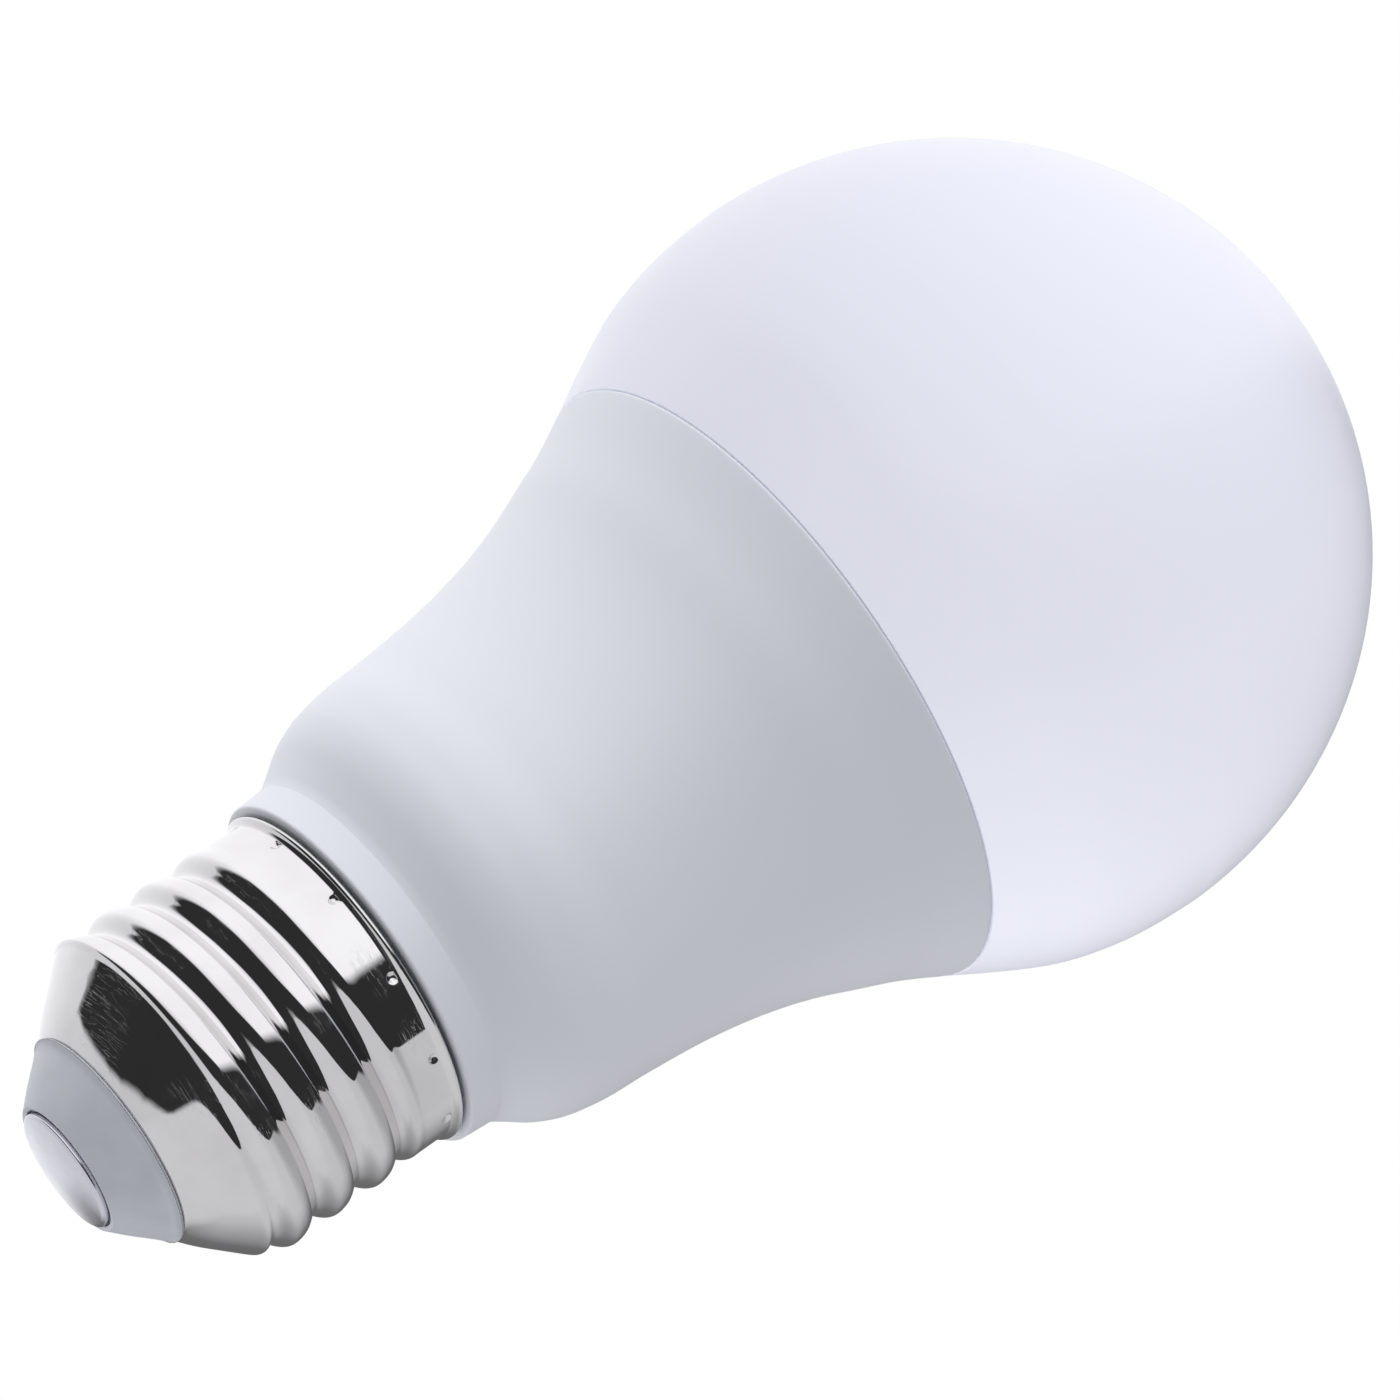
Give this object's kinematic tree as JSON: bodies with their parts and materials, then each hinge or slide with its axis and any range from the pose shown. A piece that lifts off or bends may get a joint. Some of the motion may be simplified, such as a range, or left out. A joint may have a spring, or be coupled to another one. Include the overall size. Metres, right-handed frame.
{
  "type": "smart light bulb",
  "caption": "Smart LED light bulb with an opal globe over a flared grey housing, a bright nickel screw cap and a radio-controlled light engine inside.",
  "frame": {"origin": "centre of the flat on the centre contact, the bulb's lowest point when it stands on its cap", "axes": "+Z along the bulb's axis from the cap to the top of the globe; +X towards the side where the neutral wire enters the neck; -Y is the side the driver board's flat back faces"},
  "size_m": [0.06, 0.06, 0.1095],
  "materials": {
    "opal_diffuser": "opal, satin gloss",
    "silicone": "satin",
    "housing_plastic": "fine satin",
    "drawn_aluminium": "drawn, satin",
    "thermal_paste": "matt",
    "white_circuit_board": "white solder mask, satin",
    "black_plastic": "moulded, matt",
    "black_circuit_board": "solder mask, satin",
    "tinned_steel": "tinned",
    "green_circuit_board": "solder mask, satin",
    "capacitor_sleeve": "shrink sleeve, gloss",
    "ferrite": "ground, matt",
    "winding_tape": "polyester tape, gloss",
    "resistor_enamel": "cement enamel, matt",
    "varistor_coat": "dipped epoxy, satin",
    "film_capacitor_case": "moulded case, satin",
    "red_insulation": "extruded, satin",
    "black_insulation": "extruded, satin",
    "nickel_plate": "bright nickel, polished",
    "cap_plastic": "moulded, satin",
    "contact_metal": "tinned, satin",
    "warm_led": "resin window in a white package",
    "cool_led": "resin window in a white package",
    "colour_led": "clear resin window in a white package"
  },
  "bodies": {
    "bulb": {"board_screw_1": "tinned_steel", "board_screw_2": "tinned_steel", "board_screw_3": "tinned_steel", "bridge_rectifier": "black_plastic", "bulk_capacitor": "capacitor_sleeve", "cap_insulator": "cap_plastic", "centre_contact": "contact_metal", "colour_led_1": "colour_led", "colour_led_2": "colour_led", "colour_led_3": "colour_led", "colour_led_4": "colour_led", "cool_led_1": "cool_led", "cool_led_2": "cool_led", "cool_led_3": "cool_led", "cool_led_4": "cool_led", "cool_led_5": "cool_led", "cool_led_6": "cool_led", "cool_led_7": "cool_led", "cool_led_8": "cool_led", "diffuser_adhesive_bead": "silicone", "driver_board": "green_circuit_board", "driver_ic": "black_plastic", "drum_inductor": "ferrite", "film_capacitor": "film_capacitor_case", "fuse_resistor": "resistor_enamel", "heat_sink_cup": "drawn_aluminium", "housing_shell": "housing_plastic", "led_board": "white_circuit_board", "led_board_header": "black_plastic", "live_wire": "red_insulation", "neutral_wire": "black_insulation", "output_capacitor": "capacitor_sleeve", "output_diode": "black_plastic", "radio_board": "black_circuit_board", "radio_header": "black_plastic", "radio_shield_can": "tinned_steel", "screw_shell": "nickel_plate", "standby_regulator": "black_plastic", "thermal_pad": "thermal_paste", "transformer_core": "ferrite", "transformer_winding": "winding_tape", "varistor": "varistor_coat", "warm_led_1": "warm_led", "warm_led_2": "warm_led", "warm_led_3": "warm_led", "warm_led_4": "warm_led", "warm_led_5": "warm_led", "warm_led_6": "warm_led", "warm_led_7": "warm_led", "warm_led_8": "warm_led"},
    "diffuser": {"diffuser_globe": "opal_diffuser"}
  },
  "joints": [
    {"name": "diffuser_pull_off", "type": "slide", "parent": "bulb", "child": "diffuser", "axis": [0, 0, 1], "range_m": [0, 0.05]}
  ]
}
